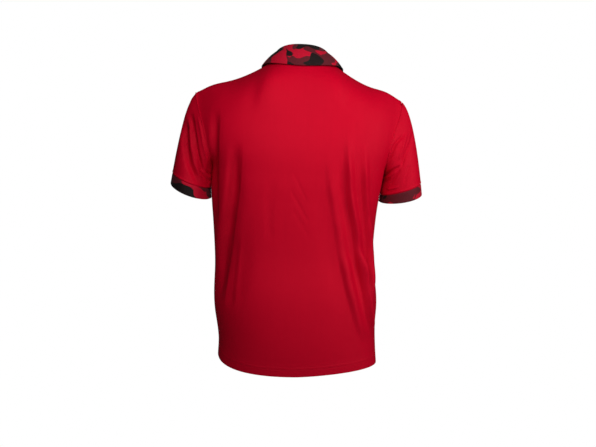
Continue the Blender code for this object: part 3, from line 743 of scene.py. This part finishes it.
def make_thread(name, colour):
    """Twisted thread: a fine slanting wave in its surface, with its colour painted a little darker in the
    grooves of the twist and lighter on its ridges, as painted shade and painted highlight.
    """
    material, tree, shader = new_material(name, Roughness=0.5, Specular_IOR_Level=0.2)
    coordinates = add_node(tree, "TexCoord")
    twist = add_node(tree, "TexWave", [(0, coordinates.outputs["Object"]), ("Scale", THREAD_TWIST),
                                       ("Distortion", 2.0)], bands_direction="DIAGONAL")
    # Painted shade and highlight: the colour is darker in the grooves of the twist and lighter on its ridges
    painted_shade = add_node(tree, "Mix", [(0, twist.outputs["Fac"])], data_type="RGBA")
    painted_shade.inputs[6].default_value = tuple(channel * THREAD_PAINTED_SHADE for channel in colour[:3]) + (1,)
    painted_shade.inputs[7].default_value = colour
    tree.links.new(painted_shade.outputs[2], shader.inputs["Base Color"])
    bump = add_node(tree, "Bump", [("Height", twist.outputs["Fac"]), ("Distance", TWIST_HEIGHT),
                                   ("Strength", 0.6)])
    tree.links.new(bump.outputs[0], shader.inputs["Normal"])
    return material


VENT_ROW = 0.006
crimson_thread = make_thread("crimson_thread", CRIMSON_THREAD)
borders = borders_of(back)
rows = [row for inset in HEM_ROWS for row in rows_beside(back, borders["hem"], inset)]
rows += rows_beside(back, borders["edge"], VENT_ROW)
sew("back_hem_stitching", rows, crimson_thread)
finish_cloth(back, "back_panel", jersey)


# The front
# The same jersey, a little shorter than the back, cut down from the neck for the placket. It hangs smoothly
# over the chest, with long soft folds below it.
FRONT_CREASES_MM = (
    Crease(((-108, -240), (-92, -380), (-104, -500), (-140, -610)), 14, 8, -1.8),
    Crease(((-132, -250), (-118, -380), (-128, -500), (-160, -612)), 11, 6, 2.2),
    Crease(((-150, -290), (-146, -420), (-158, -560)), 9, 6, -1.8),
    Crease(((128, -230), (108, -360), (124, -500), (158, -612)), 14, 7, -2.0),
    Crease(((146, -260), (130, -380), (142, -490), (172, -600)), 11, 6, 2.2),
    Crease(((165, -240), (158, -360), (166, -480)), 9, 7, -1.4),
    Crease(((36, -330), (56, -450), (50, -610)), 16, 10, -1.2),
    Crease(((66, -380), (80, -480), (78, -590)), 14, 9, 1.2),
    Crease(((-28, -380), (-42, -500), (-34, -620)), 15, 10, -1.0),
    Crease(((-66, -400), (-74, -500), (-82, -600)), 13, 9, 1.0),
    Crease(((96, -120), (120, -180), (150, -215)), 16, 9, 0.9),
    Crease(((-96, -130), (-118, -185), (-146, -222)), 16, 9, 0.9),
)
front = cut_cloth("front_panel", "front_jersey",
                  ("back_panel", "sleeve_left", "sleeve_right", "collar_stand"), PANEL_LEVELS)
ease(front, NECK_CORNERS)
refine(front, FRONT_CREASES_MM, -1)
ripple(front)
press(front, FRONT_CREASES_MM, -1)
sink_seams(front)
borders = borders_of(front)
low_edges = [pair for pair in borders["edge"] if front.data.vertices[pair[0]].co.z < HEM_BELOW]
rows = [row for inset in HEM_ROWS for row in rows_beside(front, borders["hem"], inset)]
rows += rows_beside(front, low_edges, VENT_ROW)
sew("front_hem_stitching", rows, crimson_thread)
finish_cloth(front, "front_panel", jersey)


# The sleeves
# Two short set-in sleeves, each one piece of the jersey closed under the arm. They are sewn to the panels
# round the armholes, and crease where they hang from the shoulder.
SLEEVE_CREASES_MM = {
    ("left", 1): (
        Crease(((267, -112), (266, -160), (262, -195), (253, -230), (240, -256), (231, -282)),
               13, 10, -9.5, 0.2, True),
        Crease(((256, -100), (245, -158), (239, -195), (230, -230), (221, -256), (215, -272)),
               10, 7, -8.5, 0.2, True),
        Crease(((250, -125), (246, -170), (239, -208), (229, -240), (219, -262)), 6, 4, 2.6),
        Crease(((237, -108), (228, -150), (220, -195), (213, -228)), 6, 4, 2.2),
        Crease(((233, -236), (225, -252), (214, -272)), 3, 3, 2.4),
        Crease(((226, -240), (219, -252), (209, -264)), 3, 3, 2.2),
        Crease(((230, -244), (221, -258), (211, -271)), 3, 3, -2.2),
        Crease(((219, -240), (213, -248), (207, -256)), 3, 3, -2.0),
    ),
    ("left", -1): (
        Crease(((258, -126), (248, -195), (232, -248)), 11, 8, -4.0, 0.2, True),
        Crease(((240, -126), (230, -180), (212, -236)), 8, 5, 2.4),
        Crease(((268, -156), (260, -210), (248, -256)), 8, 6, -3.0),
    ),
    ("right", 1): (
        Crease(((-246, -150), (-239, -166), (-226, -178), (-217, -195), (-210, -218), (-204, -240)),
               5, 6, -3.6, -0.2),
        Crease(((-267, -150), (-262, -177), (-251, -197), (-242, -221), (-236, -244)), 6, 5, -3.2),
        Crease(((-259, -228), (-250, -252), (-242, -276)), 6, 5, -1.8),
        Crease(((-254, -146), (-241, -192), (-228, -226)), 7, 5, 2.2),
        Crease(((-240, -232), (-230, -237), (-218, -242), (-207, -248), (-197, -264)), 4, 4, -4.0),
        Crease(((-238, -237), (-229, -251), (-220, -264), (-211, -280)), 4, 4, -3.2),
        Crease(((-214, -262), (-205, -267), (-195, -269)), 6, 6, -3.6),
        Crease(((-228, -246), (-216, -254), (-204, -261)), 4, 3, 2.0),
        Crease(((-234, -280), (-219, -286), (-203, -287)), 4, 4, 2.2),
    ),
    ("right", -1): (
        Crease(((-258, -140), (-244, -205), (-222, -258)), 10, 7, -4.0, -0.2, True),
        Crease(((-242, -136), (-228, -190), (-208, -244)), 8, 5, 2.4),
        Crease(((-268, -170), (-258, -220), (-244, -266)), 8, 6, -3.0),
    ),
}
TRIM_LEVELS = 3
HUG_REACH = 0.012
HUG_CLEAR = 0.0006
HUG_MOST = 0.004
HUG_BELOW = -0.215
HUG_HOLD = 0.01
seen_scene = bpy.context.evaluated_depsgraph_get()
body_cloth = [BVHTree.FromObject(panel, seen_scene) for panel in (back, front)]


def hug_body(sleeve, low_seam):
    """Lays the inner side of a sleeve against the body below the armpit, where the two nearly touch."""
    points, normals = points_of(sleeve), normals_of(sleeve)
    freedom = np.clip(distances(points, points[ends_of(low_seam)]) / HUG_HOLD, 0, 1)
    for index in np.flatnonzero(points[:, 2] < HUG_BELOW):
        place = Vector(points[index])
        found = [cloth.find_nearest(place, HUG_REACH) for cloth in body_cloth]
        nearest = min((near for near in found if near[0]), key=lambda near: near[3], default=None)
        if nearest and (nearest[0] - place).dot(Vector(normals[index])) > 0:
            share = 1 - nearest[3] / HUG_REACH
            step = min(max(nearest[3] - HUG_CLEAR, 0), HUG_MOST) * min(2 * share, 1)
            points[index] += (nearest[0] - place).normalized() * step * freedom[index]
    put_points(sleeve, points)


BAND_SEAM_BELOW = -0.2
LIP_REACH = 0.006
LIP_HEIGHT = 0.001
SLEEVE_ROW = 0.0052


def raise_lip(piece, pairs):
    """Raises a soft lip in the cloth along a seam, where the layers that are turned inside fill it out."""
    points, normals = points_of(piece), normals_of(piece)
    share = np.clip(distances(points, points[ends_of(pairs)]) / LIP_REACH, 0, 1)
    put_points(piece, points + normals * (LIP_HEIGHT * np.sin(share * math.pi) ** 2)[:, None])


for side in ("left", "right"):
    sleeve = cut_cloth(f"sleeve_{side}", f"sleeve_{side}_jersey",
                       ("back_panel", "front_panel", f"cuff_{side}"), TRIM_LEVELS, is_tube=True)
    ripple(sleeve)
    for facing in (1, -1):
        press(sleeve, SLEEVE_CREASES_MM[side, facing], facing)
    low_seam = [pair for pair in borders_of(sleeve)["seam"]
                if sleeve.data.vertices[pair[0]].co.z < BAND_SEAM_BELOW]
    hug_body(sleeve, low_seam)
    sink_seams(sleeve)
    raise_lip(sleeve, low_seam)
    rows = rows_beside(sleeve, low_seam, SLEEVE_ROW)
    sew(f"sleeve_{side}_stitching", rows, crimson_thread)
    finish_cloth(sleeve, f"sleeve_{side}", jersey)


# The sleeve bands
# A band of camouflage jersey finishes each sleeve. Its cut edge is turned up inside and stitched down.
BAND_ROW = 0.0022
TRIM_CLOTH = 0.0013
CAMO_RED = (0.50, 0.0015, 0.022, 1)
CAMO_MAROON = (0.105, 0.008, 0.014, 1)
CAMO_DARK = (0.010, 0.005, 0.005, 1)
TRIM_THREAD = (0.09, 0.006, 0.012, 1)
BLOBS = (24, 24, 30)
BLOB_WARP = 0.35
BLOB_EDGE = 0.01
# Each layer of blobs: where its noise is read, its colour and the least noise that it covers
CAMO_LAYERS = ((0.0, CAMO_RED, 0.6), (9.4, CAMO_DARK, 0.535), (15.1, CAMO_RED, 0.66))


def make_camo():
    """Blobs of three colours that lie over each other, with crisp uneven edges."""
    tree, given, result = new_group("camouflage", {"Object": ()}, {"Colour": "Color"})
    colour = None
    for offset, over, least in CAMO_LAYERS:
        placed = add_node(tree, "Mapping", [(0, given.outputs["Object"]), ("Scale", BLOBS),
                                            ("Location", (offset, offset, -offset))])
        blobs = add_node(tree, "TexNoise", [(0, placed.outputs[0]), ("Scale", 1.0), ("Detail", 1.0),
                                            ("Roughness", 0.4), ("Distortion", BLOB_WARP)])
        blob = add_node(tree, "MapRange", [(0, blobs.outputs[0]), (1, least), (2, least + BLOB_EDGE)])
        layer = add_node(tree, "Mix", [(0, blob.outputs[0])], data_type="RGBA")
        if colour is None:
            layer.inputs[6].default_value = CAMO_MAROON
        else:
            tree.links.new(colour, layer.inputs[6])
        layer.inputs[7].default_value = over
        colour = layer.outputs[2]
    tree.links.new(colour, result.inputs["Colour"])
    return tree


camouflage = make_camo()
patterned, tree, shader = new_material("camouflage_jersey", Roughness=0.6, Specular_IOR_Level=0.12,
                                       Sheen_Weight=0.04, Sheen_Roughness=0.5)
knit, bump, coordinates = use_knit(tree)
camo = tree.nodes.new("ShaderNodeGroup")
camo.node_tree = camouflage
tree.links.new(coordinates.outputs["Object"], camo.inputs["Object"])
tree.links.new(camo.outputs["Colour"], shader.inputs["Base Color"])
tree.links.new(bump.outputs[0], shader.inputs["Normal"])
trim_thread = make_thread("trim_thread", TRIM_THREAD)
for side in ("left", "right"):
    band = cut_cloth(f"cuff_{side}", f"sleeve_band_{side}", (f"sleeve_{side}",), TRIM_LEVELS, is_tube=True)
    sink_seams(band)
    rows = rows_beside(band, borders_of(band)["edge"], BAND_ROW)
    sew(f"sleeve_band_{side}_stitching", rows, trim_thread)
    finish_cloth(band, f"cuff_{side}", patterned, TRIM_CLOTH)


# The collar
# The stand rises from the neckline, and the leaf is folded over it and lies round the neck, both of the
# camouflage jersey. The leaf's edge is turned and stitched.
LEAF_CLOTH = 0.0018
LEAF_ROW = 0.0045
STAND_RIM_ANGLE = 50
LEAF_RIM_ANGLE = 60
stand = cut_cloth("collar_stand", "collar_stand_cloth", ("back_panel", "front_panel"), TRIM_LEVELS,
                  rim_angle=STAND_RIM_ANGLE)
sink_seams(stand)
finish_cloth(stand, "collar_stand", patterned, TRIM_CLOTH)
leaf = cut_cloth("collar_fall", "collar_leaf", (), TRIM_LEVELS, rim_angle=LEAF_RIM_ANGLE)
ripple(leaf)
rows = rows_beside(leaf, borders_of(leaf)["edge"], LEAF_ROW)
sew("collar_leaf_stitching", rows, trim_thread)
finish_cloth(leaf, "collar_fall", patterned, LEAF_CLOTH)


# The placket
# Two strips of the jersey finish the slit in the front. The upper one lies over the other and is stitched
# along its edges.
STRIP_CLOTH = 0.0013
STRIP_ROW = 0.0025
STRIP_RIM_ANGLE = 50
for node, name in (("placket_upper", "placket_top_strip"), ("placket_under", "placket_under_strip")):
    strip = cut_cloth(node, name, (), TRIM_LEVELS, rim_angle=STRIP_RIM_ANGLE)
    if node == "placket_upper":
        rows = rows_beside(strip, borders_of(strip)["edge"], STRIP_ROW)
        sew("placket_stitching", rows, crimson_thread)
    finish_cloth(strip, node, jersey, STRIP_CLOTH)


# The buttons
# Three shirt buttons of dyed, moulded plastic close the placket. Each has a dished face within a raised
# rim, and is sewn on through its four holes with doubled loops of thread.
BUTTON_SIDES = 40
BUTTON_ROUNDING = 0.0004
BUTTON_RIM = 0.0011
BUTTON_SLOPE = 0.0008
BUTTON_DISH = 0.0008
FACE_UP = 0.9
ROUNDED_EDGES = math.radians(30)
BUTTON_SMOOTH = math.radians(40)
HOLE_AT = 0.0014
HOLE_RADIUS = 0.0008
HOLE_SIDES = 16
LOOP_STRAND = 0.00028
LOOP_LEVEL = -0.0005
LOOP_SIDES = (20, 6)
PLASTIC_RED = (0.30, 0.004, 0.010, 1)
PLASTIC_CLOUD = (0.24, 0.003, 0.008, 1)
PLASTIC_ROUGHNESS = (0.24, 0.36)
CLOUD_SCALE = 220.0


def seat_of(node):
    """The middle, radius and height of a CAD button, and the turn from level to how it lies."""
    points = np.unique(points_of(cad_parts[node]).round(6), axis=0)
    middle = points.mean(axis=0)
    axis = np.linalg.svd(points - middle)[2][2]
    axis *= -np.sign(axis[1])
    along = (points - middle) @ axis
    radius = np.linalg.norm(points - middle - along[:, None] * axis, axis=1).max()
    middle += axis * (along.min() + along.max()) / 2
    turn = Vector(axis).to_track_quat("Z", "Y").to_matrix().to_4x4()
    return radius, np.ptp(along), Matrix.Translation(Vector(middle)) @ turn


def select_faces(piece, chosen):
    """Selects the faces, in edit mode, for which this is true."""
    bpy.ops.mesh.select_mode(type="FACE")
    bpy.ops.mesh.select_all(action="DESELECT")
    shape = bmesh.from_edit_mesh(piece.data)
    for face in shape.faces:
        face.select_set(chosen(face))
    bmesh.update_edit_mesh(piece.data)


def join_all(pieces, name):
    bpy.ops.object.select_all(action="DESELECT")
    for piece in pieces:
        piece.select_set(True)
    bpy.context.view_layer.objects.active = pieces[0]
    bpy.ops.object.join()
    pieces[0].name = name
    return pieces[0]


button_radius, button_height, _ = seat_of("button_1")
bpy.ops.object.select_all(action="DESELECT")
bpy.ops.mesh.primitive_cylinder_add(vertices=BUTTON_SIDES, radius=button_radius, depth=button_height)
button = bpy.context.object
bpy.ops.object.mode_set(mode="EDIT")
select_faces(button, lambda face: face.normal.z > FACE_UP)
bpy.ops.mesh.inset(thickness=BUTTON_RIM)
bpy.ops.mesh.inset(thickness=BUTTON_SLOPE)
bpy.ops.transform.translate(value=(0, 0, -BUTTON_DISH))
bpy.ops.object.mode_set(mode="OBJECT")
modify(button, "BEVEL", width=BUTTON_ROUNDING, segments=3, limit_method="ANGLE",
       angle_limit=ROUNDED_EDGES)
cutters = []
for across in (-HOLE_AT, HOLE_AT):
    for up in (-HOLE_AT, HOLE_AT):
        bpy.ops.mesh.primitive_cylinder_add(vertices=HOLE_SIDES, radius=HOLE_RADIUS,
                                            depth=button_height * 2, location=(across, up, 0))
        cutters.append(bpy.context.object)
cutter = join_all(cutters, "button_holes")
select_only(cutter)
bpy.ops.object.transform_apply(location=True)
modify(button, "BOOLEAN", operation="DIFFERENCE", object=cutter, solver="EXACT")
bpy.data.objects.remove(cutter)

loops = []
loop_rows = (-HOLE_AT - LOOP_STRAND, -HOLE_AT + LOOP_STRAND, HOLE_AT - LOOP_STRAND, HOLE_AT + LOOP_STRAND)
for up in loop_rows:
    bpy.ops.mesh.primitive_torus_add(major_segments=LOOP_SIDES[0], minor_segments=LOOP_SIDES[1],
                                     major_radius=HOLE_AT, minor_radius=LOOP_STRAND,
                                     location=(0, up, LOOP_LEVEL), rotation=(math.pi / 2, 0, 0))
    loops.append(bpy.context.object)
loops = join_all(loops, "button_loops")
select_only(loops)
bpy.ops.object.transform_apply(location=True, rotation=True)

plastic, tree, shader = new_material("dyed_plastic", Specular_IOR_Level=0.5)
coordinates = add_node(tree, "TexCoord")
cloud = add_node(tree, "TexNoise", [(0, coordinates.outputs["Object"]), ("Scale", CLOUD_SCALE),
                                    ("Detail", 2.0)])
blend = add_node(tree, "Mix", [(0, cloud.outputs["Fac"])], data_type="RGBA")
blend.inputs[6].default_value = PLASTIC_RED
blend.inputs[7].default_value = PLASTIC_CLOUD
tree.links.new(blend.outputs[2], shader.inputs["Base Color"])
gloss = add_node(tree, "MapRange", [(0, cloud.outputs["Fac"]), (3, PLASTIC_ROUGHNESS[0]),
                                    (4, PLASTIC_ROUGHNESS[1])])
tree.links.new(gloss.outputs[0], shader.inputs["Roughness"])

for number in (1, 2, 3):
    seat = seat_of(f"button_{number}")[2]
    for shaped, name, material, slot in ((button, "shirt_button", plastic, "button_plastic"),
                                         (loops, "button_thread", crimson_thread, "jersey")):
        made = bpy.data.objects.new(f"{name}_{number}", shaped.data.copy())
        bpy.context.collection.objects.link(made)
        made.data.transform(seat)
        made.data.materials.append(material)
        select_only(made)
        bpy.ops.object.shade_smooth_by_angle(angle=BUTTON_SMOOTH)
        if shaped is button:
            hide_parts(f"button_{number}")
        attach(made, "root")
bpy.data.objects.remove(button)
bpy.data.objects.remove(loops)


# The studio
# White surroundings that shine weakly, soft lights near the upper right of the back, which fall off down
# the shirt, and one before it.
CAMERA_AT = (0.0024, 3.0, -0.367)
PICTURE_PIXELS = 596
PIXEL = 0.00236
WORLD_WHITE = 1.0
WORLD_GLOW = 0.03
FLOOR_LEVEL = -1.6
FLOOR_RADIUS = 2.6
FLOOR_SIDES = 64
FLOOR_PALE = (0.84, 0.84, 0.84, 1)
FLOOR_SHADE = (0.78, 0.78, 0.78, 1)
LAMP_AIM = (0, 0, -0.3)
Lamp = namedtuple("Lamp", "name place size power")
LAMPS = (
    Lamp("side_key", (-1.2, 0.7, 0.2), 0.6, 12.0),
    Lamp("back_key", (0.1, 0.7, 0.2), 0.6, 3.7),
    Lamp("low_fill", (-0.1, 0.7, -0.3), 0.6, 1.0),
    Lamp("front_fill", (0.05, -1.7, -0.35), 0.5, 26),
)

camera = bpy.data.objects.new("camera", bpy.data.cameras.new("camera"))
bpy.context.collection.objects.link(camera)
camera.location = CAMERA_AT
camera.rotation_euler = (math.pi / 2, 0, math.pi)
camera.data.angle = 2 * math.atan(PICTURE_PIXELS * PIXEL / 2 / CAMERA_AT[1])
bpy.context.scene.camera = camera

for lamp in LAMPS:
    data = bpy.data.lights.new(lamp.name, "AREA")
    data.size = lamp.size
    data.energy = lamp.power
    light = bpy.data.objects.new(lamp.name, data)
    bpy.context.collection.objects.link(light)
    light.visible_camera = False
    light.location = lamp.place
    aim = Vector(LAMP_AIM) - Vector(lamp.place)
    light.rotation_euler = aim.to_track_quat("-Z", "Y").to_euler()

world = bpy.data.worlds.new("white_surroundings")
bpy.context.scene.world = world
world.use_nodes = True
tree = world.node_tree
tree.nodes.clear()
path = add_node(tree, "LightPath")
strength = add_node(tree, "MapRange", [(0, path.outputs["Is Camera Ray"]), (3, WORLD_GLOW),
                                       (4, WORLD_WHITE)])
sky = add_node(tree, "Background", [("Color", (1, 1, 1, 1)), ("Strength", strength.outputs[0])])
shown = add_node(tree, "OutputWorld")
tree.links.new(sky.outputs[0], shown.inputs["Surface"])
bpy.context.scene.view_settings.view_transform = "Standard"

bpy.ops.object.select_all(action="DESELECT")
bpy.ops.mesh.primitive_circle_add(vertices=FLOOR_SIDES, radius=FLOOR_RADIUS, fill_type="NGON",
                                  location=(0, 0, FLOOR_LEVEL))
floor = bpy.context.object
floor.name = "floor"
floor_finish, tree, shader = new_material("pale_floor", Roughness=0.8)
speckle = add_node(tree, "TexNoise", [("Scale", 3.0), ("Detail", 2.0)])
pale = add_node(tree, "Mix", [(0, speckle.outputs[0])], data_type="RGBA")
pale.inputs[6].default_value = FLOOR_SHADE
pale.inputs[7].default_value = FLOOR_PALE
tree.links.new(pale.outputs[2], shader.inputs["Base Color"])
floor.data.materials.append(floor_finish)
